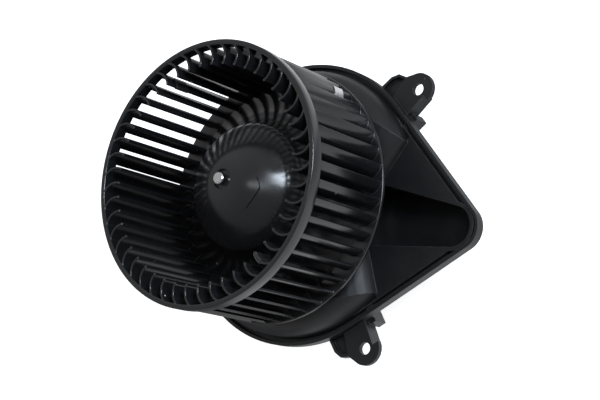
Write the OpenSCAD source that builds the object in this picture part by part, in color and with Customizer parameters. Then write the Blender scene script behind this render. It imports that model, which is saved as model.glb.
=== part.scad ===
// Cabin blower motor for a car's heater: a bladed wheel on a small motor,
// carried by a teardrop-shaped moulded plate with two fixing ears.
// The motor's axis is +Z, the wheel's open inlet faces up, the plate's corner points to +X,
// and the origin lies on the axis at the flat closed back of the motor cup.

/* [Overall] */
// Height from the back of the motor cup to the wheel's front face
overall_h = 130; // [115:1:150]

/* [Wheel] */
// Outside diameter of the wheel
wheel_d = 150.6; // [140:0.2:156]
// Axial length of the wheel, front face to back of its disc
wheel_len = 68.4; // [55:0.2:72]
// Number of blades
blade_n = 47; // [40:1:50]
// Thickness of one blade
blade_t = 1.3; // [1:0.1:1.8]
// Depth of the bladed ring, from the wheel's outside to the blades' inner tips
blade_depth = 13.5; // [12:0.1:15]
// Width of the band that ties the blades' front ends
band_w = 7.8; // [5:0.1:12]
// Wall of that band
band_t = 3; // [2:0.1:4]
// Thickness of the wheel's disc
disc_t = 2.5; // [2:0.1:4]

/* [Hub] */
// Height of the hub's cap below the wheel's front face
hub_drop = 17.5; // [15:0.5:22]
// Radius of the hub's neck
hub_r = 33; // [32:0.5:37]
// Wall of the hub
hub_t = 2; // [1.6:0.1:3]
// Shaft diameter
shaft_d = 7; // [6:0.1:8]

/* [Housing plate] */
// Radius of the plate's round rim
rim_r = 84.6; // [82:0.2:90]
// Distance from the axis to the centre of the corner's curve
nose_x = 110; // [104:0.5:116]
// Radius of the corner's curve
nose_r = 13.6; // [12:0.2:16]
// Height of the rim's lip above the back of the motor cup
rim_z = 40; // [36:0.5:46]
// Depth of the rim
rim_h = 6; // [5:0.2:9]
// Thickness of the rim's lip
lip_t = 2; // [1.6:0.1:3]
// Width of the rim's groove
groove_w = 2.4; // [1.8:0.1:3.2]
// Wall of the plate
plate_t = 2.3; // [1.8:0.1:3]
// Running gap between the wheel's disc and the raised floor
floor_gap = 4.5; // [3.5:0.1:7]
// Distance from the axis to the foot of the two ramps in the corner
ramp_foot = 40.7; // [38:0.1:43]
// Length over which a ramp curves up to the raised floor
ramp_run = 40; // [30:1:45]
// Angle by which each ramp is turned from the plate's axis of symmetry
ramp_turn = 26.6; // [22:0.2:32]
// Radius of the air channel's round end
channel_r = 11.7; // [10:0.1:12.2]

/* [Ears] */
// Distance from the round rim out to the centre of an ear's hole
ear_out = 14.1; // [12:0.1:17]
// Diameter of an ear's hole
ear_hole_d = 7; // [6:0.1:8]
// Radius of an ear's round end
ear_r = 9.7; // [8.5:0.1:11]
// Thickness of an ear
ear_t = 2.8; // [2:0.1:4]
// Depth of the wall along an ear's side
ear_wall_h = 10; // [7:0.2:12]

/* [Motor] */
// Diameter of the motor can
can_d = 60; // [56:0.5:62]
// Wall of the motor can
can_t = 1.8; // [1.5:0.1:2.2]
// Thickness of the rubber between the motor and its cup
rubber_t = 3; // [2.4:0.1:3.6]
// Wall of the motor cup
cup_t = 2.4; // [2:0.1:3]
// Thickness of the two magnets
magnet_t = 5.2; // [4.5:0.1:6]
// Air gap between the armature and the magnets
air_gap = 0.8; // [0.6:0.1:1.2]
// Number of slots in the armature
slot_n = 12; // [8:1:14]
// Diameter of the commutator
comm_d = 19; // [16:0.5:22]

/* [Hidden] */
eps = 0.01;
wheel_r = wheel_d / 2;
wheel_z = overall_h - wheel_len;
disc_z = wheel_z + disc_t;
tip_r = wheel_r - blade_depth;
blade_r = 9.3;
blade_cx = wheel_r - 10.7;
blade_cy = 8.9;
blade_tip_a = atan2(-blade_cy, tip_r - blade_cx);
blade_end_a = -16;
clip_t = 0.5;
shaft_r = shaft_d / 2;
floor_z = wheel_z - floor_gap;
rim_base = rim_z - rim_h;
plate_z = rim_z - 0.5;
wall_in = lip_t + groove_w;
shoulder_r = rim_r - wall_in;
can_r = can_d / 2;
can_in = can_r - can_t;
cup_in = can_r + rubber_t;
cup_r = cup_in + cup_t;
cup_floor = 2.5;
end_z = 6;
end_t = 2;
can_z = end_z + end_t;
can_top = overall_h - 56;
cup_top = floor_z + 3;
magnet_r = can_in - magnet_t;
core_r = magnet_r - air_gap;
core_z = can_z + 26;
core_h = can_top - can_z - 40;
comm_r = comm_d / 2;
comm_z = can_z + 6;
comm_h = 11;
shaft_z = end_z - 1;
shaft_top = overall_h - 14;
phi = acos((rim_r - nose_r) / nose_x);
duct_z = 8;
channel_x = nose_x - 3.5;
channel_w = 20.9;
term_z = end_z + 8.2;
bolt_r = cup_in + 3.6;
ear_z = rim_base - ear_t + 1;

black = [0.07, 0.07, 0.075];
steel = [0.72, 0.73, 0.75];
zinc = [0.6, 0.61, 0.63];
copper = [0.72, 0.4, 0.2];
brass = [0.8, 0.65, 0.32];
rubber = [0.1, 0.1, 0.1];
dark = [0.2, 0.2, 0.21];
cream = [0.8, 0.76, 0.66];

function bez(p, n) = [for (i = [0 : n]) let (t = i / n, s = 1 - t)
    s*s*s * p[0] + 3*s*s*t * p[1] + 3*s*t*t * p[2] + t*t*t * p[3]];

// Outline of the wheel's bell-shaped hub at depth d in its wall, as [radius, height]:
// a nearly conical cap, a tight shoulder with a short neck, and a flare that meets the disc
function bell(d) = let (cap_z = overall_h - hub_drop, edge_z = cap_z - 17.6, neck_z = cap_z - 28.5) concat(
    bez([[shaft_r + 2.2, cap_z - d], [hub_r - 19 - 0.2 * d, cap_z - d],
         [hub_r - 10.5 - 0.74 * d, cap_z - 11 - 0.67 * d], [hub_r - 4.5 - 0.74 * d, edge_z - 0.67 * d]], 10),
    bez([[hub_r - 4.5 - 0.74 * d, edge_z - 0.67 * d], [hub_r - 2.3 - 0.74 * d, edge_z - 2.4 - 0.67 * d],
         [hub_r - d, neck_z + 5 - 0.2 * d], [hub_r - d, neck_z]], 6),
    bez([[hub_r - d, neck_z], [hub_r - d, (neck_z + disc_z) / 2 - 0.3 * d],
         [hub_r + 6 - 0.8 * d, disc_z + 0.3 - d], [tip_r + 2 - d / 2, disc_z - d]], 12));

// One forward-curved blade in section: a C-shaped arc from its inner tip to the wheel's outside
module blade_section() {
    r = blade_r;
    cx = blade_cx;
    cy = blade_cy;
    a0 = blade_tip_a;
    intersection() {
        translate([cx, cy]) difference() {
            circle(r = r + blade_t / 2, $fn = 48);
            circle(r = r - blade_t / 2, $fn = 48);
        }
        translate([cx, cy]) polygon([[0, 0], 20 * [cos(a0), sin(a0)], [4, -26], [26, -20],
                                        22 * [cos(blade_end_a), sin(blade_end_a)]]);
    }
    translate([cx + r * cos(a0), cy + r * sin(a0)]) circle(r = blade_t / 2 + 0.12, $fn = 24);
}

// The bladed wheel: front band, blades, disc and bell-shaped hub in one moulding
module fan_wheel() {
    color(black) {
        difference() {
            union() {
                translate([0, 0, disc_z - eps]) linear_extrude(wheel_len - disc_t - 0.4)
                    for (i = [0 : blade_n - 1]) rotate(360 / blade_n * i) blade_section();
                translate([0, 0, overall_h - band_w]) difference() {
                    cylinder(h = band_w, r = wheel_r, $fn = 128);
                    translate([0, 0, -1]) cylinder(h = band_w + 2, r = wheel_r - band_t, $fn = 128);
                }
                translate([0, 0, wheel_z]) difference() {
                    cylinder(h = disc_t, r = wheel_r, $fn = 128);
                    translate([0, 0, -1]) cylinder(h = disc_t + 2, r = tip_r, $fn = 128);
                }
                rotate_extrude($fn = 96)
                    let (b = bell(hub_t), n = len(b))
                        polygon(concat(bell(0), [[tip_r + 2, wheel_z]], [for (i = [1 : n]) b[n - i]]));
                hub_sleeve();
            }
            translate([0, 0, overall_h - 60]) cylinder(h = 80, r = shaft_r, $fn = 48);
        }
    }
}

// Sleeve inside the hub that grips the shaft, with six stiffening ribs
module hub_sleeve() {
    top = overall_h - hub_drop - 2;
    len = 20;
    translate([0, 0, top - len]) cylinder(h = len, r = shaft_r + 4.5, $fn = 48);
    for (i = [0 : 5]) rotate(60 * i) translate([shaft_r + 3, -0.8, top - 9]) cube([4.5, 1.6, 8]);
}

// Spring-steel U clip pushed over the edge of one blade to balance the wheel
module balance_clip(blade, a_from, a_to, z, h) {
    r = blade_r;
    cx = blade_cx;
    cy = blade_cy;
    w = blade_t / 2 + clip_t;
    mid = (a_from + a_to) / 2;
    color(zinc) rotate(360 / blade_n * blade) translate([0, 0, z]) linear_extrude(h) difference() {
        union() {
            translate([cx, cy]) intersection() {
                difference() {
                    circle(r = r + w, $fn = 48);
                    circle(r = r - w, $fn = 48);
                }
                polygon([[0, 0], 30 * [cos(a_from), sin(a_from)], 30 * [cos(mid), sin(mid)],
                         30 * [cos(a_to), sin(a_to)]]);
            }
            translate([cx + r * cos(a_from), cy + r * sin(a_from)]) circle(r = w, $fn = 24);
        }
        blade_section();
    }
}
module balance_clip_a() balance_clip(7, blade_end_a - 0.5, blade_end_a - 36, disc_z + 8.9, 8);
module balance_clip_b() balance_clip(17, blade_tip_a, blade_tip_a + 34, overall_h - 18, 10);
module balance_clip_c() balance_clip(42, blade_tip_a, blade_tip_a + 34, overall_h - 12, 11.4);

// Plain ground shaft with chamfered end
module motor_shaft() {
    color(steel) {
        translate([0, 0, shaft_z]) cylinder(h = shaft_top - shaft_z - 0.5, r = shaft_r, $fn = 48);
        translate([0, 0, shaft_top - 0.5 - eps])
            cylinder(h = 0.5 + eps, r1 = shaft_r, r2 = shaft_r - 0.5, $fn = 48);
    }
}

// Laminated armature core with open slots
module armature_core() {
    color(zinc) translate([0, 0, core_z]) linear_extrude(core_h) difference() {
        circle(r = core_r, $fn = 96);
        circle(r = shaft_r, $fn = 48);
        for (i = [0 : slot_n - 1]) rotate(360 / slot_n * i) {
            translate([core_r - 9, 0]) circle(r = 2.4, $fn = 24);
            translate([core_r - 9, -1.9]) square([6.5, 3.8]);
            translate([core_r - 4, -0.9]) square([6, 1.8]);
        }
    }
}

// Copper coils: their sides fill the slots and their ends bulge past the core
module armature_winding() {
    color(copper) {
        for (i = [0 : slot_n - 1]) rotate(360 / slot_n * i)
            translate([core_r - 9, 0, core_z - 0.5]) cylinder(h = core_h + 1, r = 2.2, $fn = 24);
        for (z = [core_z - 6.4, core_z + core_h]) translate([0, 0, z]) difference() {
            cylinder(h = 6.4, r = core_r - 3, $fn = 64);
            translate([0, 0, -1]) cylinder(h = 9, r = shaft_r + 1.2, $fn = 48);
        }
    }
}

// Commutator: moulded core with copper bars cut by fine slots
module commutator() {
    color(copper) difference() {
        translate([0, 0, comm_z]) union() {
            cylinder(h = comm_h, r = comm_r, $fn = 64);
            translate([0, 0, comm_h - 1.5]) cylinder(h = 1.5, r = comm_r + 1.2, $fn = 64);
        }
        translate([0, 0, comm_z - 1]) cylinder(h = comm_h + 2, r = shaft_r, $fn = 48);
        for (i = [0 : slot_n - 1]) rotate(360 / slot_n * (i + 0.5))
            translate([comm_r - 1, -0.25, comm_z - 1]) cube([4, 0.5, comm_h + 2]);
    }
}

// Two thin washers that take the rotor's end play
module thrust_washers() {
    color(cream) for (z = [end_z + end_t + 3.02, can_top - 3.62]) translate([0, 0, z]) difference() {
        cylinder(h = 0.6, r = 6.5, $fn = 48);
        translate([0, 0, -1]) cylinder(h = 3, r = shaft_r, $fn = 48);
    }
}

// Teardrop outline: a circle and a small corner curve joined by their common tangents
module teardrop(d) {
    a = rim_r + d - 0.03;
    b = nose_r + d - 0.03;
    circle(r = rim_r + d, $fn = 128);
    translate([nose_x, 0]) circle(r = nose_r + d, $fn = 64);
    polygon([a * [cos(phi), sin(phi)], [nose_x + b * cos(phi), b * sin(phi)],
             [nose_x + b * cos(phi), -b * sin(phi)], a * [cos(phi), -sin(phi)]]);
}

// Tongue outline of the cooling-air channel in the corner: its sides run on from its round end
module tongue(d) {
    r = channel_r + d;
    a = atan(channel_w / (channel_x - 30)) - asin(channel_r / norm([channel_x - 30, channel_w]));
    side = (r - 0.03) * [sin(a), cos(a)];
    translate([channel_x, 0]) circle(r = r, $fn = 48);
    polygon([[30, channel_w + d / cos(a)], [channel_x + side[0], side[1]],
             [channel_x + side[0], -side[1]], [30, -channel_w - d / cos(a)]]);
}

// Everything above the channel's floor, which rises from the motor to the corner
module above_channel(d) {
    rotate([90, 0, 0]) translate([0, 0, -60]) linear_extrude(120)
        polygon([[20, duct_z + d], [cup_r + 8, duct_z + d], [nose_x + 12, rim_base - 1 + d],
                 [nose_x + 12, 100], [20, 100]]);
}

// Outline of the raised floor's shoulder, from the rim up to the flat, as [radius, height]
function shoulder(d) = [for (i = [0 : 9]) let (a = 10 * i)
    [62 + (shoulder_r - 62 - d) * cos(a), plate_z - d + (floor_z - plate_z) * sin(a)]];

// Profile of a ramp, from its foot up to the raised floor, as [distance from the foot, height]
function ramp(d) = [for (i = [0 : 8]) let (a = 11.25 * i)
    [(ramp_run - d) * cos(a) - ramp_run, plate_z - d + (floor_z - plate_z) * sin(a)]];

// Everything below the ramp that faces the corner, on the +Y side
module below_ramp(d) {
    rotate(-ramp_turn) translate([ramp_foot, 200, 0]) rotate([90, 0, 0]) linear_extrude(400)
        polygon(concat(ramp(d), [[-300, floor_z - d], [-300, -100], [-d, -100]]));
}

module half(side) {
    translate([-200, side > 0 ? 0 : -200, -10]) cube([400, 200, 200]);
}

// Raised floor under the wheel with its round shoulder, cut off by two ramps in the corner
module raised_floor() {
    for (s = [1, -1]) intersection() {
        half(s);
        difference() {
            intersection() {
                rotate_extrude($fn = 128)
                    polygon(concat([[cup_in + 1, plate_z - plate_t]], [[shoulder_r, plate_z - plate_t]],
                                   shoulder(0), [[cup_in + 1, floor_z]]));
                mirror([0, s > 0 ? 0 : 1, 0]) below_ramp(0);
            }
            intersection() {
                rotate_extrude($fn = 128)
                    polygon(concat([[cup_in, 0]], [[shoulder(plate_t)[0][0], 0]],
                                   shoulder(plate_t), [[cup_in, floor_z - plate_t]]));
                mirror([0, s > 0 ? 0 : 1, 0]) below_ramp(plate_t);
            }
        }
    }
}

// Rim: outer lip, groove and inner wall round the whole plate
module rim() {
    translate([0, 0, rim_base]) linear_extrude(2) difference() {
        teardrop(0);
        teardrop(-wall_in - 2);
    }
    translate([0, 0, rim_base]) linear_extrude(rim_h) difference() {
        teardrop(0);
        teardrop(-lip_t);
    }
    translate([0, 0, rim_base]) linear_extrude(rim_h - 0.5) difference() {
        teardrop(-wall_in);
        teardrop(-wall_in - 1);
    }
}

// Flat plate that fills the corner beyond the ramps
module corner_plate() {
    x = (ramp_foot - 1.3) / cos(ramp_turn);
    far = 134 * [sin(ramp_turn), cos(ramp_turn)];
    translate([0, 0, plate_z - plate_t]) linear_extrude(plate_t) intersection() {
        teardrop(-wall_in - 0.6);
        polygon([[x, 0], [x + far[0], far[1]], [200, 120], [200, -120], [x + far[0], -far[1]]]);
    }
}

// One ear in its own frame, whose origin lies on the rim where its round part ends: a face with a
// round end, a deep wall along the corner's side, a recess on the other side, and a small tab
module ear() {
    top = ear_z + ear_t;
    step = [[-4, 8.4], [3.3, 9.5], [ear_out - 1.7, ear_r + 2.2]];
    side = [[-4, -7], [ear_out + 0.6, -0.56 * ear_r]];
    lobe = [[ear_out - 1.5, ear_r + 2.5], [10.2, 17.1], [5.4, 19.4], [-4, 19.7]];
    rotate(phi) translate([rim_r, 0, 0]) difference() {
        union() {
            translate([0, 0, ear_z]) linear_extrude(ear_t) difference() {
                union() {
                    translate([ear_out, 0]) circle(r = ear_r, $fn = 64);
                    polygon(concat(step, [[ear_out + 4.4, 0.887 * ear_r], [ear_out + 4.4, -2],
                                          side[1], side[0]]));
                }
                polygon([1.2 * side[0] - 0.2 * side[1], side[1], [ear_out + 0.6, -20], [-7, -20]]);
            }
            translate([0, 0, top - ear_wall_h]) linear_extrude(ear_wall_h)
                polygon(concat(side, [side[1] + [0, 2.1], side[0] + [0, 2.1]]));
            translate([0, 0, top - 5.5]) linear_extrude(2.2) polygon(concat(step, lobe));
            translate([0, 0, top - 5.5]) linear_extrude(5)
                polygon(concat(lobe, [[-4, 18.2], [4.9, 17.9], [9, 15.9], [ear_out - 3, ear_r + 2.1]]));
            translate([0, 0, top - 5.5]) linear_extrude(5.5)
                polygon(concat(step, [[ear_out - 1.5, ear_r + 0.4], [3.4, 7.8], [-4, 6.7]]));
            translate([-4.5, 7, top - 5.5]) cube([2, 12.6, 5.2]);
            translate([-7, -11, rim_base - 14]) cube([8.7, 5, 10.4]);
            translate([-7, -11, rim_base - 14]) cube([6.4, 5, 14.6]);
        }
        translate([ear_out, 0, ear_z - 1]) cylinder(h = ear_t + 2, r = ear_hole_d / 2, $fn = 48);
    }
}

// Motor cup: tube and closed back, with three screw bosses at its mouth
module cup_outer() {
    cylinder(h = cup_top, r = cup_r, $fn = 96);
    for (i = [0 : 2]) rotate(60 + 120 * i)
        translate([bolt_r, 0, cup_top - 11]) cylinder(h = 11, r = 3.6, $fn = 32);
}

// Stiffening ribs on the back of the raised floor
module back_ribs() {
    for (s = [1, -1]) intersection() {
        half(s);
        rotate_extrude($fn = 128)
            polygon(concat([[cup_in + 1, rim_base]], [[shoulder_r, rim_base]], shoulder(1),
                           [[cup_in + 1, floor_z - 1]]));
        mirror([0, s > 0 ? 0 : 1, 0]) below_ramp(1.2);
        for (a = [45 : 30 : 315]) rotate(a) translate([cup_in + 1, -0.9, 0]) cube([60, 1.8, 80]);
    }
}

// Channel under the corner that leads cooling air to the motor
module duct() {
    intersection() {
        above_channel(0);
        union() {
            translate([0, 0, duct_z]) linear_extrude(plate_z - duct_z - eps) difference() {
                tongue(2.2);
                circle(r = cup_r - 1, $fn = 96);
            }
            intersection() {
                translate([0, 0, duct_z]) linear_extrude(80) difference() {
                    tongue(2.2);
                    circle(r = cup_r - 1, $fn = 96);
                }
                for (s = [1, -1]) intersection() {
                    half(s);
                    rotate_extrude($fn = 128)
                        polygon(concat([[cup_in + 1, 0]], [[shoulder_r, 0]], shoulder(0.2),
                                       [[cup_in + 1, floor_z - 0.2]]));
                    mirror([0, s > 0 ? 0 : 1, 0]) below_ramp(0.2);
                }
            }
        }
    }
}

module duct_hollow() {
    intersection() {
        above_channel(2.2);
        difference() {
            union() {
                translate([0, 0, duct_z]) linear_extrude(rim_base - duct_z - 4) tongue(0);
                translate([0, 0, rim_base - 6]) linear_extrude(60) difference() {
                    tongue(0);
                    circle(r = cup_r, $fn = 96);
                }
            }
            cylinder(h = 90, r = cup_in - 1, $fn = 64);
        }
    }
}

// Base for the connector on the cup's side, away from the corner
module connector_base() {
    translate([-cup_r - 7, -13, 5]) cube([10, 26, 18]);
}

module housing_plate() {
    color(black) difference() {
        union() {
            rim();
            corner_plate();
            raised_floor();
            ear();
            mirror([0, 1, 0]) ear();
            cup_outer();
            back_ribs();
            duct();
            connector_base();
        }
        duct_hollow();
        translate([0, 0, cup_floor]) cylinder(h = 100, r = cup_in, $fn = 96);
        for (i = [0 : 2]) rotate(60 + 120 * i)
            translate([bolt_r, 0, cup_top - 9]) cylinder(h = 11, r = 1.5, $fn = 24);
        for (s = [-1, 1]) translate([-cup_r - 9, 4.5 * s - 2.2, term_z - 0.4]) cube([14, 4.4, 2]);
    }
}

// Drawn steel can with its bearing boss; four windows let cooling air in
module motor_can() {
    color(zinc) difference() {
        union() {
            translate([0, 0, can_z]) cylinder(h = can_top - can_z, r = can_r, $fn = 96);
            translate([0, 0, can_top - eps]) cylinder(h = 5, r = 9, $fn = 48);
        }
        translate([0, 0, can_z - 1]) cylinder(h = can_top - can_z + 1 - can_t, r = can_in, $fn = 96);
        translate([0, 0, can_top - 4]) cylinder(h = 20, r = 6, $fn = 48);
        for (a = [0, 90, 180, 270]) rotate(a) translate([20, -7, can_z + 5]) cube([20, 14, 9]);
        for (a = [45 : 90 : 315]) rotate(a)
            translate([18, 0, can_top - 5]) cylinder(h = 10, r = 3.5, $fn = 24);
    }
}

// Pressed end plate with the rear bearing boss and air slots
module motor_end_plate() {
    color(zinc) difference() {
        union() {
            translate([0, 0, end_z]) cylinder(h = end_t, r = can_r, $fn = 96);
            translate([0, 0, end_z - 3]) cylinder(h = 8, r = 9, $fn = 48);
        }
        translate([0, 0, end_z - 1.8]) cylinder(h = 10, r = 6, $fn = 48);
        for (a = [45 : 90 : 315]) rotate(a) translate([19, 0, end_z - 1]) cylinder(h = 5, r = 2.6, $fn = 24);
        for (a = [60, 240]) rotate(a)
            translate([can_in - 4, 0, end_z - 1]) cylinder(h = 5, r = 1.2, $fn = 24);
    }
}

// Curved ferrite magnet on the inside of the can
module magnet(a) {
    color(dark) rotate(a) translate([0, 0, core_z - 3]) linear_extrude(core_h + 6) intersection() {
        difference() {
            circle(r = can_in, $fn = 96);
            circle(r = magnet_r, $fn = 96);
        }
        polygon([[0, 0], 60 * [cos(60), -sin(60)], [90, 0], 60 * [cos(60), sin(60)]]);
    }
}
module magnet_a() magnet(0);
module magnet_b() magnet(180);

// Bent steel clips that press the magnets apart
module magnet_clips() {
    color(steel) for (a = [90, 270]) rotate(a) translate([0, 0, core_z]) {
        linear_extrude(core_h) intersection() {
            difference() {
                circle(r = can_in, $fn = 96);
                circle(r = can_in - 0.8, $fn = 96);
            }
            polygon([[0, 0], 60 * [cos(29.9), -sin(29.9)], 60 * [cos(29.9), sin(29.9)]]);
        }
    }
}

// Sintered bush, seated in a bearing boss
module bush(z) {
    color(brass) translate([0, 0, z]) difference() {
        cylinder(h = 6.8, r = 6, $fn = 48);
        translate([0, 0, -1]) cylinder(h = 10, r = shaft_r + 0.02, $fn = 48);
    }
}
module bearing_front() bush(can_top - 3);
module bearing_rear() bush(end_z - 1.8);

module rubber_ring_lower() {
    color(rubber) difference() {
        translate([0, 0, cup_floor]) cylinder(h = 10, r = cup_in, $fn = 96);
        translate([0, 0, end_z]) cylinder(h = 20, r = can_r, $fn = 96);
        cylinder(h = 20, r = can_r - 3, $fn = 96);
    }
}

module rubber_ring_upper() {
    color(rubber) translate([0, 0, cup_top - 10]) difference() {
        cylinder(h = 10, r = cup_in, $fn = 96);
        translate([0, 0, -1]) cylinder(h = 20, r = can_r, $fn = 96);
    }
}

// Ring that holds the upper rubber down
module retainer_ring() {
    color(black) translate([0, 0, cup_top]) difference() {
        union() {
            cylinder(h = 2, r = cup_r, $fn = 96);
            for (i = [0 : 2]) rotate(60 + 120 * i)
                translate([bolt_r, 0, 0]) cylinder(h = 2, r = 3.6, $fn = 32);
        }
        translate([0, 0, -1]) cylinder(h = 4, r = can_r + 0.6, $fn = 96);
        for (i = [0 : 2]) rotate(60 + 120 * i) translate([bolt_r, 0, -1]) cylinder(h = 4, r = 1.6, $fn = 24);
    }
}

module retainer_screws() {
    color(steel) for (i = [0 : 2]) rotate(60 + 120 * i) translate([bolt_r, 0, cup_top]) {
        translate([0, 0, -7]) cylinder(h = 9 + eps, r = 1.5, $fn = 24);
        translate([0, 0, 2]) difference() {
            cylinder(h = 1.8, r = 2.9, $fn = 32);
            translate([-0.5, -2, 0.9]) cube([1, 4, 2]);
            translate([-2, -0.5, 0.9]) cube([4, 1, 2]);
        }
    }
}

// Moulded card that carries the brush gear
module brush_card() {
    color(dark) translate([0, 0, can_z]) difference() {
        cylinder(h = 2, r = can_in, $fn = 96);
        translate([0, 0, -1]) cylinder(h = 4, r = 9.2, $fn = 48);
        for (a = [45 : 90 : 315]) rotate(a) translate([19, 0, -1]) cylinder(h = 5, r = 2.6, $fn = 24);
        for (a = [60, 240]) rotate(a) translate([can_in - 4, 0, -1]) cylinder(h = 5, r = 1.2, $fn = 24);
    }
}

// Two brass boxes in which the brushes slide
module brush_holders() {
    color(brass) for (a = [90, 270]) rotate(a) translate([comm_r + 1.6, 0, comm_z + 1]) difference() {
        translate([0, -3.6, -5]) cube([13.4, 7.2, 14]);
        translate([-1, -3, 0]) cube([13.8, 6, 8.4]);
        translate([-1, -2, -6]) cube([20, 4, 5.2]);
    }
}

module brush(a) {
    color([0.25, 0.24, 0.24]) rotate(a) difference() {
        translate([comm_r - 1, -3, comm_z + 1]) cube([9, 6, 8.4]);
        translate([0, 0, comm_z]) cylinder(h = 12, r = comm_r + 0.03, $fn = 64);
    }
}
module brush_a() brush(90);
module brush_b() brush(270);

// Small coil springs, drawn as their closed outer shape, behind the brushes
module brush_springs() {
    color(steel) for (a = [90, 270]) rotate(a) translate([comm_r + 8, 0, comm_z + 5.2]) rotate([0, 90, 0])
        difference() {
            cylinder(h = 6.4, r = 2.6, $fn = 32);
            translate([0, 0, -1]) cylinder(h = 6, r = 1.8, $fn = 32);
        }
}

// Two suppression chokes on ferrite rods
module chokes() {
    for (a = [28, 152]) rotate(a) translate([20.5, 0, can_z + 2]) {
        color(dark) cylinder(h = 11, r = 1.6, $fn = 24);
        color(copper) translate([0, 0, 1.5]) cylinder(h = 8, r = 2.5, $fn = 24);
    }
}

// Two flat pins that run from the connector to the brush card
module terminals() {
    color(brass) for (s = [-1, 1]) {
        translate([-cup_r - 22, 4.5 * s - 2, term_z]) cube([cup_r + 22 - can_in + 3, 4, 1.2]);
        translate([-can_in + 1, 4.5 * s - 2, can_z + 2]) cube([2, 4, term_z + 1.2 - can_z - 2]);
    }
}

// Two-pin socket on the side of the cup
module connector_shell() {
    color(black) difference() {
        union() {
            translate([-cup_r - 25, -11, 5]) cube([18, 22, 17]);
            translate([-cup_r - 9, -13, 5]) cube([2, 26, 18]);
            translate([-cup_r - 21, -4, 22 - eps]) cube([8, 8, 2.4]);
        }
        translate([-cup_r - 26, -9, 8.5]) cube([15, 18, 12]);
        for (s = [-1, 1]) translate([-cup_r - 12, 4.5 * s - 2, term_z]) cube([12, 4, 1.2]);
    }
}

module end_plate_screws() {
    color(steel) for (a = [60, 240]) rotate(a) translate([can_in - 4, 0, end_z - 1.2]) {
        cylinder(h = 1.2, r = 2.2, $fn = 32);
        cylinder(h = 6.5, r = 1.2, $fn = 24);
    }
}

fan_wheel();
balance_clip_a();
balance_clip_b();
balance_clip_c();
motor_shaft();
armature_core();
armature_winding();
commutator();
thrust_washers();
housing_plate();
motor_can();
motor_end_plate();
magnet_a();
magnet_b();
magnet_clips();
bearing_front();
bearing_rear();
rubber_ring_lower();
rubber_ring_upper();
retainer_ring();
retainer_screws();
brush_card();
brush_holders();
brush_a();
brush_b();
brush_springs();
chokes();
terminals();
connector_shell();
end_plate_screws();
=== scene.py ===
"""Cabin blower motor of a car heater: bladed wheel, hub, clips, rimmed plate and the motor inside."""
import math

import bmesh
import bpy
from bpy.props import FloatProperty, FloatVectorProperty, IntProperty, PointerProperty
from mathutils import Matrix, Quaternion, Vector


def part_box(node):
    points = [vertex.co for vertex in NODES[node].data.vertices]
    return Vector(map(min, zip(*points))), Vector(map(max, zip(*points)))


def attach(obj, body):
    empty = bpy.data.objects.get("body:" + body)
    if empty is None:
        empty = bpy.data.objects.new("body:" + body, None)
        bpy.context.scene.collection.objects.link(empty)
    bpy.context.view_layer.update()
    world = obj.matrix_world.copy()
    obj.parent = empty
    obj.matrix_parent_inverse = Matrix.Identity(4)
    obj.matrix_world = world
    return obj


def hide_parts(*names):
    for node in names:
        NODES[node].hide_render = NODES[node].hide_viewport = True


bl_info = {
    "name": "Cabin Blower Motor",
    "version": (1, 0, 0),
    "blender": (4, 5, 0),
    "location": "3D View > Sidebar > Blower",
    "description": "Makes the wheel, plate and motor of a car heater's blower, with their finishes and stage",
    "category": "Add Mesh",
}

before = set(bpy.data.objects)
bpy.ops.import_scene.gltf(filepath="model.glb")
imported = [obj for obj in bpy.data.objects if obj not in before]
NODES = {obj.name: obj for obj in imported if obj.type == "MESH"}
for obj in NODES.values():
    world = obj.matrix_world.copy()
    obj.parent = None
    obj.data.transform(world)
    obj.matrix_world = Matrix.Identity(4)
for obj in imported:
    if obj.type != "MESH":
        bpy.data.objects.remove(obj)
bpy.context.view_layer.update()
MM = 0.001


WHEEL_LOW, WHEEL_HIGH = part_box("fan_wheel")


# ---------------------------------------------------------------- settings


class WheelSettings(bpy.types.PropertyGroup):
    radius: FloatProperty(name="Radius", description="Outside radius of the wheel", default=WHEEL_HIGH.x, unit="LENGTH")
    front: FloatProperty(name="Front", description="Height of the wheel's front face", default=WHEEL_HIGH.z, unit="LENGTH")
    back: FloatProperty(name="Back", description="Height of the disc's back face", default=WHEEL_LOW.z, unit="LENGTH")
    blades: IntProperty(name="Blades", description="Number of blades", default=47, min=3)
    blade: FloatProperty(name="Blade", description="Thickness of a blade", default=1.3 * MM, unit="LENGTH")
    depth: FloatProperty(name="Blade depth", description="From the wheel's outside to the blades' inner tips", default=13.5 * MM, unit="LENGTH")
    band: FloatProperty(name="Band", description="Width of the front band", default=7.8 * MM, unit="LENGTH")
    wall: FloatProperty(name="Band wall", description="Wall of the front band", default=3 * MM, unit="LENGTH")
    disc: FloatProperty(name="Disc", description="Thickness of the disc", default=2.5 * MM, unit="LENGTH")
    inset: FloatProperty(name="Disc inset", description="From the wheel's outside to the disc's edge", default=0.3 * MM, unit="LENGTH")
    drop: FloatProperty(name="Hub drop", description="From the front face back to the hub's cap", default=17.5 * MM, unit="LENGTH")
    neck: FloatProperty(name="Hub neck", description="Radius of the hub's neck", default=37.2 * MM, unit="LENGTH")
    shaft: FloatProperty(name="Shaft", description="Radius of the shaft", default=3.5 * MM, unit="LENGTH")


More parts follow.
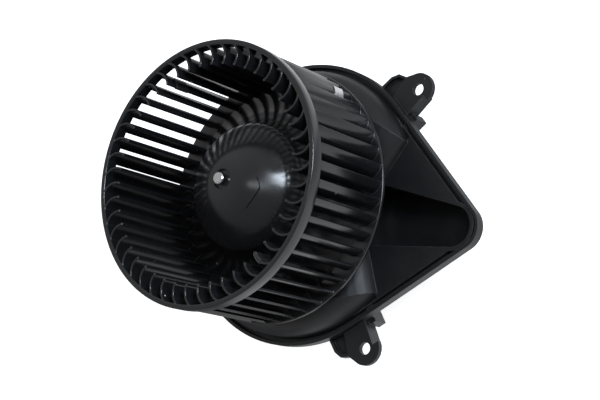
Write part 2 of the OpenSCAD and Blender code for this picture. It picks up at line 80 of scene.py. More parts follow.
class FinishSettings(bpy.types.PropertyGroup):
    wheel: FloatVectorProperty(name="Wheel", description="Colour of the wheel's plastic", default=(0.008, 0.008, 0.009), subtype="COLOR", min=0, max=1)
    plate: FloatVectorProperty(name="Plate", description="Colour of the plate's plastic", default=(0.008, 0.008, 0.009), subtype="COLOR", min=0, max=1)
    dust: FloatVectorProperty(name="Dust", description="Colour of dust and of rubbed edges", default=(0.12, 0.12, 0.125), subtype="COLOR", min=0, max=1)
    steel: FloatVectorProperty(name="Steel", description="Colour of bare steel", default=(0.62, 0.62, 0.64), subtype="COLOR", min=0, max=1)
    copper: FloatVectorProperty(name="Copper", description="Colour of enamelled copper", default=(0.62, 0.3, 0.16), subtype="COLOR", min=0, max=1)
    brass: FloatVectorProperty(name="Brass", description="Colour of brass and bronze", default=(0.6, 0.48, 0.25), subtype="COLOR", min=0, max=1)
    gloss: FloatProperty(name="Wheel roughness", description="Roughness of the wheel's plastic", default=0.2, min=0.02, max=1)
    satin: FloatProperty(name="Plate roughness", description="Roughness of the plate's plastic", default=0.42, min=0.02, max=1)


class StageSettings(bpy.types.PropertyGroup):
    key: FloatProperty(name="Key softbox", description="Power of the softbox beside the camera", default=12.0, min=0, unit="POWER")
    strip: FloatProperty(name="Strip", description="Power of the strip above the camera", default=0.9, min=0, unit="POWER")
    top: FloatProperty(name="Ceiling", description="Strength of the pale ceiling above the far side", default=0.2, min=0)
    sky: FloatProperty(name="Surroundings", description="Strength of the surroundings as a light", default=0.32, min=0)
    # Also sets the painted reflection that the floor gives off for glossy rays only.
    glow: FloatProperty(name="Horizon", description="Strength of the white paper seen in reflections", default=1.0, min=0, max=1)
    lens: FloatProperty(name="Lens", description="Focal length of the camera in millimetres", default=88.786, min=10)


# ---------------------------------------------------------------- node helpers


def add(tree, kind, inputs=None, **values):
    node = tree.nodes.new(kind)
    for key, value in values.items():
        setattr(node, key, value)
    for key, value in (inputs or {}).items():
        socket = node.inputs[key]
        if isinstance(value, bpy.types.NodeSocket):
            tree.links.new(value, socket)
        else:
            socket.default_value = value
    return node


def math_node(tree, operation, a, b=0.0):
    return add(tree, "ShaderNodeMath", {0: a, 1: b}, operation=operation).outputs[0]


def new_group(name, sockets_in, sockets_out):
    tree = bpy.data.node_groups.new(name, "ShaderNodeTree")
    for label, kind, value in sockets_in:
        socket = tree.interface.new_socket(label, in_out="INPUT", socket_type=kind)
        socket.default_value = value
    for label, kind in sockets_out:
        tree.interface.new_socket(label, in_out="OUTPUT", socket_type=kind)
    return tree, tree.nodes.new("NodeGroupInput"), tree.nodes.new("NodeGroupOutput")


def shared_group(name, maker):
    return bpy.data.node_groups.get(name) or maker(name)


def mould_grain(name):
    """Fine spark-eroded grain with broad, shallow flow marks."""
    tree, source, result = new_group(
        name,
        [("Vector", "NodeSocketVector", (0, 0, 0)), ("Grain Scale", "NodeSocketFloat", 2600.0), ("Flow Scale", "NodeSocketFloat", 60.0)],
        [("Height", "NodeSocketFloat"), ("Patch", "NodeSocketFloat")],
    )
    fine = add(tree, "ShaderNodeTexNoise", {"Vector": source.outputs["Vector"], "Scale": source.outputs["Grain Scale"], "Detail": 3.0})
    broad = add(tree, "ShaderNodeTexNoise", {"Vector": source.outputs["Vector"], "Scale": source.outputs["Flow Scale"], "Detail": 4.0, "Roughness": 0.55})
    mixed = math_node(tree, "ADD", fine.outputs["Fac"], math_node(tree, "MULTIPLY", broad.outputs["Fac"], 2.0))
    tree.links.new(mixed, result.inputs["Height"])
    tree.links.new(broad.outputs["Fac"], result.inputs["Patch"])
    return tree


def settled_dust(name):
    """Thin dust that gathers in patches."""
    tree, source, result = new_group(
        name,
        [("Vector", "NodeSocketVector", (0, 0, 0)), ("Amount", "NodeSocketFloat", 0.3)],
        [("Mask", "NodeSocketFloat")],
    )
    cloud = add(tree, "ShaderNodeTexNoise", {"Vector": source.outputs["Vector"], "Scale": 45.0, "Detail": 8.0, "Roughness": 0.7})
    speck = add(tree, "ShaderNodeTexNoise", {"Vector": source.outputs["Vector"], "Scale": 900.0, "Detail": 2.0})
    ramp = add(tree, "ShaderNodeMapRange", {"Value": cloud.outputs["Fac"], 1: 0.45, 2: 0.75, 3: 0.0, 4: 1.0})
    grit = add(tree, "ShaderNodeMapRange", {"Value": speck.outputs["Fac"], 1: 0.5, 2: 0.75, 3: 0.2, 4: 1.0})
    both = math_node(tree, "MULTIPLY", ramp.outputs[0], grit.outputs[0])
    tree.links.new(math_node(tree, "MULTIPLY", both, source.outputs["Amount"]), result.inputs["Mask"])
    return tree


def rubbed_edges(name):
    """Mask of edges, broken up by noise, and the normal that rounds them."""
    tree, source, result = new_group(
        name,
        [("Vector", "NodeSocketVector", (0, 0, 0)), ("Width", "NodeSocketFloat", 0.0004), ("Amount", "NodeSocketFloat", 0.5)],
        [("Mask", "NodeSocketFloat"), ("Normal", "NodeSocketVector")],
    )
    soft = add(tree, "ShaderNodeBevel", {"Radius": source.outputs["Width"]}, samples=6)
    flat = add(tree, "ShaderNodeNewGeometry")
    same = add(tree, "ShaderNodeVectorMath", {0: soft.outputs[0], 1: flat.outputs["Normal"]}, operation="DOT_PRODUCT")
    edge = add(tree, "ShaderNodeMapRange", {"Value": same.outputs["Value"], 1: 0.99, 2: 0.85, 3: 0.0, 4: 1.0})
    patch = add(tree, "ShaderNodeTexNoise", {"Vector": source.outputs["Vector"], "Scale": 260.0, "Detail": 3.0})
    broken = add(tree, "ShaderNodeMapRange", {"Value": patch.outputs["Fac"], 1: 0.4, 2: 0.62, 3: 0.25, 4: 1.0})
    both = math_node(tree, "MULTIPLY", edge.outputs[0], broken.outputs[0])
    tree.links.new(math_node(tree, "MULTIPLY", both, source.outputs["Amount"]), result.inputs["Mask"])
    tree.links.new(soft.outputs[0], result.inputs["Normal"])
    return tree


def stray_specks(name):
    """Few small pale specks, such as lint and nicks leave."""
    tree, source, result = new_group(
        name,
        [("Vector", "NodeSocketVector", (0, 0, 0)), ("Scale", "NodeSocketFloat", 210.0), ("Share", "NodeSocketFloat", 0.2)],
        [("Mask", "NodeSocketFloat")],
    )
    cell = add(tree, "ShaderNodeTexVoronoi", {"Vector": source.outputs["Vector"], "Scale": source.outputs["Scale"]})
    near = add(tree, "ShaderNodeMapRange", {"Value": cell.outputs["Distance"], 1: 0.12, 2: 0.06, 3: 0.0, 4: 1.0})
    pick = add(tree, "ShaderNodeSeparateColor", {0: cell.outputs["Color"]})
    chosen = math_node(tree, "LESS_THAN", pick.outputs[0], source.outputs["Share"])
    tree.links.new(math_node(tree, "MULTIPLY", near.outputs[0], chosen), result.inputs["Mask"])
    return tree


def segment_distance(tree, place, start, end):
    """Distance from the shaded point to a straight piece between two points."""
    a, b = Vector(start), Vector(end)
    along = b - a
    offset = add(tree, "ShaderNodeVectorMath", {0: place, 1: a}, operation="SUBTRACT")
    share = add(tree, "ShaderNodeVectorMath", {0: offset.outputs[0], 1: along / along.length_squared}, operation="DOT_PRODUCT")
    kept = add(tree, "ShaderNodeClamp", {"Value": share.outputs["Value"]})
    foot = add(tree, "ShaderNodeVectorMath", {0: along, "Scale": kept.outputs[0]}, operation="SCALE")
    gap = add(tree, "ShaderNodeVectorMath", {0: offset.outputs[0], 1: foot.outputs[0]}, operation="DISTANCE")
    return gap.outputs["Value"]


def hairline(name):
    """Mask of the fine crack that runs down the hub's cap."""
    tree, source, result = new_group(name, [("Vector", "NodeSocketVector", (0, 0, 0))], [("Mask", "NodeSocketFloat")])
    wobble = add(tree, "ShaderNodeTexNoise", {"Vector": source.outputs["Vector"], "Scale": 500.0})
    shift = add(tree, "ShaderNodeVectorMath", {0: wobble.outputs["Color"], 1: (0.5, 0.5, 0.5)}, operation="SUBTRACT")
    shift = add(tree, "ShaderNodeVectorMath", {0: shift.outputs[0], "Scale": 0.0012}, operation="SCALE")
    moved = add(tree, "ShaderNodeVectorMath", {0: source.outputs["Vector"], 1: shift.outputs[0]}, operation="ADD").outputs[0]
    points = [(0.0201, 0.0044, 0.1068), (0.0225, -0.0006, 0.1054), (0.0215, -0.004, 0.1059), (0.0192, -0.0091, 0.1063), (0.0158, -0.0142, 0.1063)]
    nearest = segment_distance(tree, moved, points[0], points[1])
    for start, end in zip(points[1:], points[2:]):
        nearest = math_node(tree, "MINIMUM", nearest, segment_distance(tree, moved, start, end))
    line = add(tree, "ShaderNodeMapRange", {"Value": nearest, 1: 0.00038, 2: 0.00016, 3: 0.0, 4: 1.0})
    tree.links.new(line.outputs[0], result.inputs["Mask"])
    return tree


def new_material(name):
    made = bpy.data.materials.new(name)
    made.use_nodes = True
    tree = made.node_tree
    tree.nodes.clear()
    output = tree.nodes.new("ShaderNodeOutputMaterial")
    shader = tree.nodes.new("ShaderNodeBsdfPrincipled")
    tree.links.new(shader.outputs[0], output.inputs["Surface"])
    place = tree.nodes.new("ShaderNodeTexCoord").outputs["Object"]
    return made, tree, shader, place


def shared(tree, name, maker, **inputs):
    node = add(tree, "ShaderNodeGroup", node_tree=shared_group(name, maker))
    for key, value in inputs.items():
        socket = node.inputs[key]
        if isinstance(value, bpy.types.NodeSocket):
            tree.links.new(value, socket)
        else:
            socket.default_value = value
    return node


def plastic(name, colour, pale, rough=0.38, dust=0.25, grain=0.5, edge=0.0, wear=0.5, specks=0.0, crack=False, ior=1.5):
    """Moulded plastic with grain and dust; edge is the width of its rubbed, rounded edges."""
    made, tree, shader, place = new_material(name)
    grain_node = shared(tree, "Mould Grain", mould_grain, Vector=place)
    dust_node = shared(tree, "Settled Dust", settled_dust, Vector=place, Amount=dust)
    tint = add(tree, "ShaderNodeMix", {0: dust_node.outputs["Mask"], 6: (*colour, 1), 7: (*pale, 1)}, data_type="RGBA").outputs[2]
    spread = add(tree, "ShaderNodeMapRange", {"Value": grain_node.outputs["Patch"], 1: 0.3, 2: 0.7, 3: rough - 0.05, 4: rough + 0.06})
    dull = math_node(tree, "ADD", spread.outputs[0], math_node(tree, "MULTIPLY", dust_node.outputs["Mask"], 0.3))
    height = grain_node.outputs["Height"]
    bump = add(tree, "ShaderNodeBump", {"Strength": grain, "Distance": 0.00002})
    if specks:
        speck = shared(tree, "Stray Specks", stray_specks, Vector=place, Share=specks).outputs[0]
        tint = add(tree, "ShaderNodeMix", {0: speck, 6: tint, 7: (0.55, 0.55, 0.56, 1)}, data_type="RGBA").outputs[2]
    if crack:
        line = shared(tree, "Hairline", hairline, Vector=place).outputs[0]
        tint = add(tree, "ShaderNodeMix", {0: line, 6: tint, 7: (0.001, 0.001, 0.001, 1)}, data_type="RGBA").outputs[2]
        sheen = math_node(tree, "SUBTRACT", 0.5, math_node(tree, "MULTIPLY", line, 0.5))
        tree.links.new(sheen, shader.inputs["Specular IOR Level"])
    if edge:
        worn = shared(tree, "Rubbed Edges", rubbed_edges, Vector=place, Width=edge, Amount=wear)
        tint = add(tree, "ShaderNodeMix", {0: worn.outputs["Mask"], 6: tint, 7: (*pale, 1)}, data_type="RGBA").outputs[2]
        tree.links.new(worn.outputs["Normal"], bump.inputs["Normal"])
    tree.links.new(height, bump.inputs["Height"])
    tree.links.new(tint, shader.inputs["Base Color"])
    tree.links.new(dull, shader.inputs["Roughness"])
    tree.links.new(bump.outputs[0], shader.inputs["Normal"])
    shader.inputs["IOR"].default_value = ior
    return made


def metal(name, colour, rough=0.3, lines=0.0, round_edges=0.0):
    made, tree, shader, place = new_material(name)
    noise = add(tree, "ShaderNodeTexNoise", {"Vector": place, "Scale": 700.0, "Detail": 4.0})
    tint = add(tree, "ShaderNodeMix", {0: noise.outputs["Fac"], 6: (*[c * 0.82 for c in colour], 1), 7: (*[min(1, c * 1.1) for c in colour], 1)}, data_type="RGBA")
    tree.links.new(tint.outputs[2], shader.inputs["Base Color"])
    shader.inputs["Metallic"].default_value = 1.0
    spread = add(tree, "ShaderNodeMapRange", {"Value": noise.outputs["Fac"], 1: 0.3, 2: 0.7, 3: rough - 0.06, 4: rough + 0.08})
    tree.links.new(spread.outputs[0], shader.inputs["Roughness"])
    height = noise.outputs["Fac"]
    if lines:
        rings = add(tree, "ShaderNodeTexWave", {"Vector": place, "Scale": lines, "Distortion": 0.4, "Detail": 1.0}, wave_type="RINGS", rings_direction="Z")
        height = math_node(tree, "ADD", height, rings.outputs["Fac"])
    bump = add(tree, "ShaderNodeBump", {"Height": height, "Strength": 0.35, "Distance": 0.00003})
    if round_edges:
        soft = add(tree, "ShaderNodeBevel", {"Radius": round_edges}, samples=4)
        tree.links.new(soft.outputs[0], bump.inputs["Normal"])
    tree.links.new(bump.outputs[0], shader.inputs["Normal"])
    return made


# ---------------------------------------------------------------- mesh helpers


def bezier(points, count):
    a, b, c, d = [Vector(p) for p in points]
    out = []
    for i in range(count + 1):
        t = i / count
        s = 1 - t
        out.append(a * s**3 + b * 3 * s * s * t + c * 3 * s * t * t + d * t**3)
    return out


def lathe(bm, profile, steps):
    """Turns a closed outline of (radius, height) points round the axis into bm."""
    rings = []
    for i in range(steps):
        angle = 2 * math.pi * i / steps
        rings.append([bm.verts.new((r * math.cos(angle), r * math.sin(angle), z)) for r, z in profile])
    for i in range(steps):
        here, there = rings[i], rings[(i + 1) % steps]
        for j in range(len(profile)):
            k = (j + 1) % len(profile)
            bm.faces.new((here[j], here[k], there[k], there[j]))


def arc_wedge(bm, radii, heights, degrees):
    """A short closed bar of rectangular section that follows an arc round the axis."""
    rings = []
    for angle in map(math.radians, sorted(degrees)):
        corners_here = [(radii[0], heights[0]), (radii[1], heights[0]), (radii[1], heights[1]), (radii[0], heights[1])]
        rings.append([bm.verts.new((r * math.cos(angle), r * math.sin(angle), z)) for r, z in corners_here])
    for here, there in zip(rings, rings[1:]):
        for j in range(4):
            bm.faces.new((here[j], there[j], there[(j + 1) % 4], here[(j + 1) % 4]))
    bm.faces.new(rings[0])
    bm.faces.new(rings[-1][::-1])


def settle_normals(bm):
    bmesh.ops.remove_doubles(bm, verts=bm.verts, dist=1e-7)
    bmesh.ops.recalc_face_normals(bm, faces=bm.faces)


def smooth(mesh, degrees=35):
    mesh.shade_smooth()
    mesh.set_sharp_from_angle(angle=math.radians(degrees))


def put(name, mesh, body, material, replaces=()):
    piece = bpy.data.objects.new(name, mesh)
    bpy.context.scene.collection.objects.link(piece)
    piece.data.materials.clear()
    piece.data.materials.append(material)
    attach(piece, body)
    for node in replaces:
        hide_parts(node)
    return piece


def dress(node, material):
    mesh = NODES[node].data
    mesh.materials.clear()
    mesh.materials.append(material)


def welded_copy(node, name, body, material, degrees=30):
    """A copy of a solid with its triangles merged, so that curved faces shade smoothly."""
    mesh = NODES[node].data.copy()
    bm = bmesh.new()
    bm.from_mesh(mesh)
    bmesh.ops.remove_doubles(bm, verts=bm.verts, dist=2e-6)
    bm.to_mesh(mesh)
    bm.free()
    if "custom_normal" in mesh.attributes:
        mesh.attributes.remove(mesh.attributes["custom_normal"])
    smooth(mesh, degrees)
    return put(name, mesh, body, material, [node])


# ---------------------------------------------------------------- geometry nodes


class Grown:
    """A geometry node tree with named inputs, run once and kept as a plain mesh."""

    def __init__(self, name):
        self.tree = bpy.data.node_groups.new(name, "GeometryNodeTree")
        self.source = self.tree.nodes.new("NodeGroupInput")
        self.result = self.tree.nodes.new("NodeGroupOutput")
        self.tree.interface.new_socket("Geometry", in_out="OUTPUT", socket_type="NodeSocketGeometry")
        self.values = {}

    def number(self, name, value, kind="NodeSocketFloat"):
        socket = self.tree.interface.new_socket(name, in_out="INPUT", socket_type=kind)
        self.values[socket.identifier] = value
        return self.source.outputs[name]

    def node(self, kind, inputs=None, **values):
        return add(self.tree, kind, inputs, **values)

    def sum(self, operation, a, b):
        return self.node("ShaderNodeMath", {0: a, 1: b}, operation=operation).outputs[0]

    def vector(self, x=0.0, y=0.0, z=0.0):
        return self.node("ShaderNodeCombineXYZ", {0: x, 1: y, 2: z}).outputs[0]

    def mesh(self, parts, material):
        join = self.node("GeometryNodeJoinGeometry")
        for part in parts:
            self.tree.links.new(part, join.inputs[0])
        real = self.node("GeometryNodeRealizeInstances", {0: join.outputs[0]})
        painted = self.node("GeometryNodeSetMaterial", {0: real.outputs[0], "Material": material})
        self.tree.links.new(painted.outputs[0], self.result.inputs[0])
        holder = bpy.data.objects.new(self.tree.name, bpy.data.meshes.new(self.tree.name))
        bpy.context.scene.collection.objects.link(holder)
        modifier = holder.modifiers.new("Grow", "NODES")
        modifier.node_group = self.tree
        for key, value in self.values.items():
            modifier[key] = value
        depsgraph = bpy.context.evaluated_depsgraph_get()
        made = bpy.data.meshes.new_from_object(holder.evaluated_get(depsgraph))
        bpy.data.objects.remove(holder)
        return made


# ---------------------------------------------------------------- the wheel


def hub_outline(w):
    """Closed outline of the hub: recess, domed cap, shoulder, flare into the disc, and back underneath."""
    rim = w.radius - w.depth + 2 * MM
    cap = w.front - w.drop
    disc = w.back + w.disc
    neck = w.neck
    shell = bezier([(w.shaft + 2.6 * MM, cap), (neck - 22.2 * MM, cap - 0.5 * MM), (neck - 11.7 * MM, cap - 9 * MM), (neck - 5.7 * MM, cap - 14 * MM)], 22)
    shell += bezier([shell[-1], (neck - 2.5 * MM, cap - 16.7 * MM), (neck - 0.4 * MM, cap - 19.5 * MM), (neck, cap - 23 * MM)], 10)[1:]
    shell += bezier([shell[-1], (neck + 1.2 * MM, disc + 15.9 * MM), (neck + 7.8 * MM, disc + 4.9 * MM), (rim, disc)], 22)[1:]
    inside = []
    for before, point, after in zip([shell[0], *shell], shell, [*shell[1:], shell[-1]]):
        along = (after - before).normalized()
        inside.append((point.x + along.y * 2 * MM, point.y - along.x * 2 * MM))
    seat = cap - 2 * MM
    outline = [(w.shaft + 0.02 * MM, seat), (w.shaft + 2.05 * MM, seat), (w.shaft + 2.2 * MM, seat + 0.2 * MM), (w.shaft + 2.2 * MM, seat + 1.7 * MM)]
    outline += [tuple(point) for point in shell]
    outline += [(rim, w.back)]
    outline += [point for point in reversed(inside) if point[0] > w.shaft + 4.5 * MM and point[1] > w.back]
    outline += [(w.shaft + 4.5 * MM, seat - 20 * MM), (w.shaft + 0.02 * MM, seat - 20 * MM)]
    return outline


class BLOWER_OT_wheel(bpy.types.Operator):
    """Grow the blades, band and disc, and turn the hub"""

    bl_idname = "blower.wheel"
    bl_label = "Wheel"

    def execute(self, context):
        w = context.scene.blower_wheel
        finish = context.scene.blower_finish
        material = plastic("wheel_plastic", finish.wheel, finish.dust, rough=finish.gloss, dust=0.08, grain=0.3, edge=0.35 * MM, wear=0.35, specks=0.05, crack=True)
        g = Grown("Wheel Blades")
        count = g.number("Blades", w.blades, "NodeSocketInt")
        radius = g.number("Radius", w.radius)
        depth = g.number("Blade Depth", w.depth)
        thick = g.number("Blade Thickness", w.blade)
        front = g.number("Front", w.front)
        back = g.number("Back", w.back)
        disc = g.number("Disc", w.disc)
        band = g.number("Band Width", w.band)
        wall = g.number("Band Wall", w.wall)
        arc_r = g.number("Arc Radius", 9.3 * MM)
        arc_x = g.sum("SUBTRACT", radius, 10.7 * MM)
        arc_y = g.number("Arc Offset", 8.9 * MM)
        tip = g.sum("SUBTRACT", radius, depth)
        start = g.sum("ARCTAN2", g.sum("MULTIPLY", arc_y, -1.0), g.sum("SUBTRACT", tip, arc_x))
        end = math.radians(-16)
        low = g.sum("ADD", back, g.sum("MULTIPLY", disc, 0.5))
        high = g.sum("SUBTRACT", front, 0.4 * MM)
        tall = g.sum("SUBTRACT", high, low)
        middle = g.sum("MULTIPLY", g.sum("ADD", high, low), 0.5)
        arc = g.node("GeometryNodeCurveArc", {"Resolution": 18, "Radius": arc_r, "Start Angle": start, "Sweep Angle": g.sum("SUBTRACT", end, start)}, mode="RADIUS")
        arc = g.node("GeometryNodeTransform", {0: arc.outputs[0], "Translation": g.vector(arc_x, arc_y, middle)})
        sheet = g.node("GeometryNodeCurvePrimitiveQuadrilateral", {"Width": thick, "Height": tall})
        sheet = g.node("GeometryNodeFilletCurve", {"Curve": sheet.outputs[0], "Radius": 0.45 * MM, "Count": 3, "Limit Radius": True}, mode="POLY")
        blade = g.node("GeometryNodeCurveToMesh", {0: arc.outputs[0], "Profile Curve": sheet.outputs[0], "Fill Caps": True})
        bead = g.node("GeometryNodeMeshCylinder", {"Vertices": 12, "Radius": g.sum("ADD", g.sum("MULTIPLY", thick, 0.5), 0.12 * MM), "Depth": g.sum("SUBTRACT", tall, 0.3 * MM)})
        bead_at = g.vector(g.sum("ADD", arc_x, g.sum("MULTIPLY", arc_r, g.node("ShaderNodeMath", {0: start}, operation="COSINE").outputs[0])),
                           g.sum("ADD", arc_y, g.sum("MULTIPLY", arc_r, g.node("ShaderNodeMath", {0: start}, operation="SINE").outputs[0])), middle)
        bead = g.node("GeometryNodeTransform", {0: bead.outputs[0], "Translation": bead_at})
        one = g.node("GeometryNodeJoinGeometry")
        g.tree.links.new(blade.outputs[0], one.inputs[0])
        g.tree.links.new(bead.outputs[0], one.inputs[0])
        spots = g.node("GeometryNodeMeshLine", {"Count": count, "Offset": (0, 0, 0)})
        step = g.node("ShaderNodeMath", {0: 2 * math.pi, 1: count}, operation="DIVIDE").outputs[0]
        turn = g.sum("MULTIPLY", g.node("GeometryNodeInputIndex").outputs[0], step)
        row = g.node("GeometryNodeInstanceOnPoints", {"Points": spots.outputs[0], "Instance": one.outputs[0], "Rotation": g.vector(0, 0, turn)})

        def hoop(middle_radius, width, height, z, fillet):
            ring = g.node("GeometryNodeCurvePrimitiveCircle", {"Resolution": 188, "Radius": middle_radius})
            ring = g.node("GeometryNodeTransform", {0: ring.outputs[0], "Translation": g.vector(0, 0, z)})
            shape = g.node("GeometryNodeCurvePrimitiveQuadrilateral", {"Width": width, "Height": height})
            shape = g.node("GeometryNodeFilletCurve", {"Curve": shape.outputs[0], "Radius": fillet, "Count": 3, "Limit Radius": True}, mode="POLY")
            return g.node("GeometryNodeCurveToMesh", {0: ring.outputs[0], "Profile Curve": shape.outputs[0]}).outputs[0]

        tie = hoop(g.sum("SUBTRACT", radius, g.sum("MULTIPLY", wall, 0.5)), wall, band, g.sum("SUBTRACT", front, g.sum("MULTIPLY", band, 0.5)), 0.8 * MM)
        web = g.sum("SUBTRACT", depth, g.number("Disc Inset", w.inset))
        plate = hoop(g.sum("ADD", tip, g.sum("MULTIPLY", web, 0.5)), web, disc, g.sum("ADD", back, g.sum("MULTIPLY", disc, 0.5)), 0.6 * MM)
        mesh = g.mesh([row.outputs[0], tie, plate], material)
        bm = bmesh.new()
        bm.from_mesh(mesh)
        lathe(bm, hub_outline(w), 160)
        settle_normals(bm)
        bm.to_mesh(mesh)
        bm.free()
        smooth(mesh, 40)
        put("drum_wheel", mesh, "rotor", material, ["fan_wheel"])
        return {"FINISHED"}


class BLOWER_OT_shaft_and_clips(bpy.types.Operator):
    """Finish the shaft and the balance clips"""

    bl_idname = "blower.shaft_and_clips"
    bl_label = "Shaft and Clips"

    def execute(self, context):
        finish = context.scene.blower_finish
        shaft = metal("shaft_steel", finish.steel, rough=0.22, lines=400.0, round_edges=0.2 * MM)
        clip = metal("clip_steel", finish.steel, rough=0.3, round_edges=0.15 * MM)
        # Clips b and c get the clip steel at about a fifth of its brightness and rougher.
        dull = metal("darker_clip_steel", [0.22 * c for c in finish.steel], rough=0.45, round_edges=0.15 * MM)
        dress("motor_shaft", shaft)
        dress("balance_clip_a", clip)
        dress("balance_clip_b", dull)
        dress("balance_clip_c", dull)
        return {"FINISHED"}


class BLOWER_OT_plate(bpy.types.Operator):
    """Finish the moulded plate with its rim, channel, ears and motor cup"""

    bl_idname = "blower.plate"
    bl_label = "Plate"

    def execute(self, context):
        finish = context.scene.blower_finish
        material = plastic("plate_plastic", finish.plate, finish.dust, rough=finish.satin, dust=0.1, edge=0.5 * MM, wear=0.5, specks=0.03, ior=1.42)
        rimmed = welded_copy("housing_plate", "rimmed_plate", "housing", material)
        bm = bmesh.new()
        bm.from_mesh(rimmed.data)
        for side in (1, -1):
            arc_wedge(bm, (79.6 * MM, 82.2 * MM), (35.8 * MM, 37.4 * MM), [side * (31 + 1.5 * i) for i in range(8)])
        bm.to_mesh(rimmed.data)
        bm.free()
        welded_copy("connector_shell", "plug_socket", "housing", material)
        dress("retainer_ring", material)
        return {"FINISHED"}


class BLOWER_OT_motor(bpy.types.Operator):
    """Finish the motor's inner pieces"""

    bl_idname = "blower.motor"
    bl_label = "Motor"

    def execute(self, context):
        finish = context.scene.blower_finish
        can = metal("can_steel", (0.5, 0.51, 0.53), rough=0.35)
        steel = metal("bright_steel", finish.steel, rough=0.28)
        core = metal("lamination_steel", (0.36, 0.36, 0.38), rough=0.4)
        copper = metal("enamelled_copper", finish.copper, rough=0.3)
        brass = metal("bronze", finish.brass, rough=0.32)
        ferrite = plastic("ferrite", (0.07, 0.07, 0.075), finish.dust, rough=0.6, dust=0.05)
        rubber = plastic("soft_rubber", (0.02, 0.02, 0.02), finish.dust, rough=0.7, dust=0.2)
        card = plastic("card", (0.08, 0.08, 0.085), finish.dust, rough=0.5, dust=0.05)
        nylon = plastic("nylon", (0.66, 0.62, 0.52), finish.dust, rough=0.45, dust=0.05)
        carbon = plastic("carbon", (0.05, 0.05, 0.05), finish.dust, rough=0.5, dust=0.0)
        for material, nodes in (
            (can, ("motor_can", "motor_end_plate")),
            (steel, ("retainer_screws", "end_plate_screws", "magnet_clips", "brush_springs")),
            (core, ("armature_core",)),
            (copper, ("armature_winding", "commutator", "chokes")),
            (brass, ("bearing_front", "bearing_rear", "brush_holders", "terminals")),
            (ferrite, ("magnet_a", "magnet_b")),
            (rubber, ("rubber_ring_lower", "rubber_ring_upper")),
            (card, ("brush_card",)),
            (nylon, ("thrust_washers",)),
            (carbon, ("brush_a", "brush_b")),
        ):
            for node in nodes:
                dress(node, material)
        return {"FINISHED"}


# ---------------------------------------------------------------- the stage


def area_light(name, place, target, size, power, colour=(1, 1, 1)):
    data = bpy.data.lights.new(name, "AREA")
    data.shape = "RECTANGLE"
    data.size, data.size_y = size
    data.energy = power
    data.color = colour
    lamp = bpy.data.objects.new(name, data)
    lamp.location = place
    lamp.rotation_mode = "QUATERNION"
    lamp.rotation_quaternion = (Vector(target) - Vector(place)).to_track_quat("-Z", "Y")
    bpy.context.scene.collection.objects.link(lamp)
    return lamp


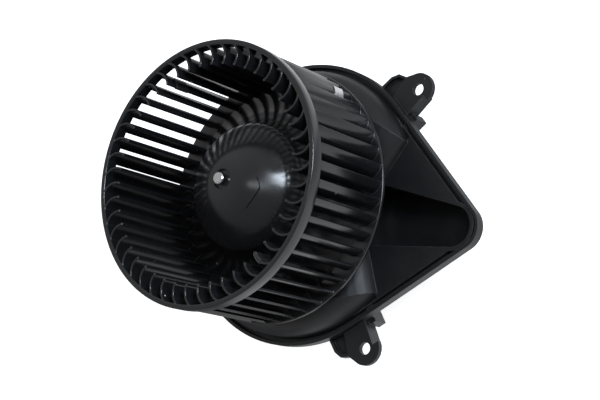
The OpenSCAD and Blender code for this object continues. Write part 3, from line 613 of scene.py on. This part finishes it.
class BLOWER_OT_stage(bpy.types.Operator):
    """Set the camera, floor, lamps and surroundings"""

    bl_idname = "blower.stage"
    bl_label = "Stage"

    def execute(self, context):
        scene = context.scene
        stage = scene.blower_stage
        scene.view_settings.view_transform = "Standard"
        data = bpy.data.cameras.new("camera")
        data.sensor_width = 36
        data.lens = stage.lens
        data.clip_start, data.clip_end = 0.01, 20
        camera = bpy.data.objects.new("camera", data)
        camera.location = (0.53945, -0.06668, 0.7267)
        camera.rotation_mode = "QUATERNION"
        camera.rotation_quaternion = Quaternion((0.940635, 0.070688, 0.320898, 0.085046))
        scene.collection.objects.link(camera)
        scene.camera = camera

        bm = bmesh.new()
        bmesh.ops.create_grid(bm, x_segments=1, y_segments=1, size=4)
        mesh = bpy.data.meshes.new("floor")
        bm.to_mesh(mesh)
        bm.free()
        floor = bpy.data.objects.new("floor", mesh)
        floor.location.z = -0.2 * MM
        scene.collection.objects.link(floor)
        paper, tree, shader, place = new_material("paper")
        shader.inputs["Roughness"].default_value = 0.9
        shader.inputs["Specular IOR Level"].default_value = 0.1
        shader.inputs["Emission Color"].default_value = (1, 1, 1, 1)
        path = tree.nodes.new("ShaderNodeLightPath")
        tone = add(tree, "ShaderNodeMix", {0: path.outputs["Is Camera Ray"], 6: (0.2, 0.2, 0.21, 1), 7: (0.82, 0.84, 0.88, 1)}, data_type="RGBA")
        tree.links.new(tone.outputs[2], shader.inputs["Base Color"])
        # The floor glows for glossy rays only, as a painted reflection. It is brighter towards -Y and +X and has
        # painted shadow towards -X. A bright strip lies beyond the far rim, with painted shade at that rim's foot.
        across = add(tree, "ShaderNodeSeparateXYZ", {0: place})
        near_side = add(tree, "ShaderNodeMapRange", {"Value": across.outputs["Y"], 1: 0.12, 2: -0.02, 3: 0.1, 4: stage.glow})
        right_side = add(tree, "ShaderNodeMapRange", {"Value": across.outputs["X"], 1: -0.04, 2: 0.03, 3: 0.02, 4: 1.0})
        # Painted shade in the floor's reflection at the foot of the rim on the +Y side, rising to the bright strip
        # further out.
        painted_shade_at_rim_foot = add(tree, "ShaderNodeMapRange", {"Value": across.outputs["Y"], 1: 0.098, 2: 0.118, 3: 0.0, 4: stage.glow})
        beyond = add(tree, "ShaderNodeMapRange", {"Value": across.outputs["Y"], 1: 0.15, 2: 0.2, 3: 1.0, 4: 0.1})
        strip = math_node(tree, "MULTIPLY", painted_shade_at_rim_foot.outputs[0], beyond.outputs[0])
        seen = math_node(tree, "MAXIMUM", math_node(tree, "MULTIPLY", near_side.outputs[0], right_side.outputs[0]), strip)
        # Only glossy rays see this painted reflection; the camera sees the even white below.
        painted_reflection = math_node(tree, "MULTIPLY", path.outputs["Is Glossy Ray"], seen)
        lift = math_node(tree, "ADD", math_node(tree, "MULTIPLY", path.outputs["Is Camera Ray"], 0.85), painted_reflection)
        tree.links.new(lift, shader.inputs["Emission Strength"])
        below = math_node(tree, "MULTIPLY", tree.nodes.new("ShaderNodeNewGeometry").outputs["Backfacing"], path.outputs["Is Camera Ray"])
        clear = tree.nodes.new("ShaderNodeBsdfTransparent")
        either = add(tree, "ShaderNodeMixShader", {0: below, 1: shader.outputs[0], 2: clear.outputs[0]})
        tree.links.new(either.outputs[0], tree.nodes["Material Output"].inputs["Surface"])
        mesh.materials.append(paper)

        world = bpy.data.worlds.new("surroundings")
        scene.world = world
        world.use_nodes = True
        tree = world.node_tree
        background = tree.nodes["Background"]
        path = tree.nodes.new("ShaderNodeLightPath")
        way = add(tree, "ShaderNodeSeparateXYZ", {0: tree.nodes.new("ShaderNodeTexCoord").outputs["Generated"]})
        low = add(tree, "ShaderNodeMapRange", {"Value": way.outputs["Z"], 1: 0.25, 2: 0.02, 3: 0.0, 4: stage.glow})
        side = add(tree, "ShaderNodeMapRange", {"Value": way.outputs["Y"], 1: 0.5, 2: -0.1, 3: 0.25, 4: 1.0})
        paper_band = math_node(tree, "MULTIPLY", low.outputs[0], side.outputs[0])
        band = math_node(tree, "MULTIPLY", paper_band, path.outputs["Is Glossy Ray"])
        toward = add(tree, "ShaderNodeVectorMath", {0: way.inputs[0].links[0].from_socket, 1: (-0.55, 0.08, 0.83)}, operation="DOT_PRODUCT")
        ceiling = add(tree, "ShaderNodeMapRange", {"Value": toward.outputs["Value"], 1: 0.55, 2: 0.98, 3: 0.0, 4: stage.top}, interpolation_type="SMOOTHSTEP")
        flank = add(tree, "ShaderNodeMapRange", {"Value": way.outputs["Y"], 1: 0.2, 2: 0.8, 3: stage.sky, 4: stage.sky * 1.8})
        lit = math_node(tree, "ADD", math_node(tree, "ADD", band, ceiling.outputs[0]), flank.outputs[0])
        level = add(tree, "ShaderNodeMix", {0: path.outputs["Is Camera Ray"], 2: lit, 3: 1.0}, data_type="FLOAT")
        tree.links.new(level.outputs[0], background.inputs["Strength"])
        background.inputs["Color"].default_value = (1, 1, 1, 1)

        middle = Vector((0.02, 0, 0.1))
        area_light("key_softbox", middle + Vector((0.7, 0.37, 0.6)) * 1.1, middle, (0.3, 0.44), stage.key, (0.78, 0.89, 1.0))
        area_light("strip", middle + Vector((0.42, 0.08, 0.9)) * 1.2, middle, (0.2, 0.4), stage.strip, (0.88, 0.94, 1.0))
        return {"FINISHED"}


# ---------------------------------------------------------------- panel and main


class BLOWER_PT_panel(bpy.types.Panel):
    bl_idname = "BLOWER_PT_panel"
    bl_label = "Cabin Blower Motor"
    bl_space_type = "VIEW_3D"
    bl_region_type = "UI"
    bl_category = "Blower"

    def draw(self, context):
        layout = self.layout
        for group in (context.scene.blower_wheel, context.scene.blower_finish, context.scene.blower_stage):
            box = layout.box()
            for key in group.__annotations__:
                box.prop(group, key)
        for operator in OPERATORS:
            layout.operator(operator.bl_idname)


SETTINGS = {"blower_wheel": WheelSettings, "blower_finish": FinishSettings, "blower_stage": StageSettings}
OPERATORS = (BLOWER_OT_stage, BLOWER_OT_wheel, BLOWER_OT_shaft_and_clips, BLOWER_OT_plate, BLOWER_OT_motor)
CLASSES = (*SETTINGS.values(), *OPERATORS, BLOWER_PT_panel)


def register():
    for item in CLASSES:
        bpy.utils.register_class(item)
    for name, group in SETTINGS.items():
        setattr(bpy.types.Scene, name, PointerProperty(type=group))


def unregister():
    for name in SETTINGS:
        delattr(bpy.types.Scene, name)
    for item in reversed(CLASSES):
        bpy.utils.unregister_class(item)


def main():
    register()
    bpy.ops.blower.stage()
    bpy.ops.blower.wheel()
    bpy.ops.blower.shaft_and_clips()
    bpy.ops.blower.plate()
    bpy.ops.blower.motor()


if __name__ == "__main__":
    main()
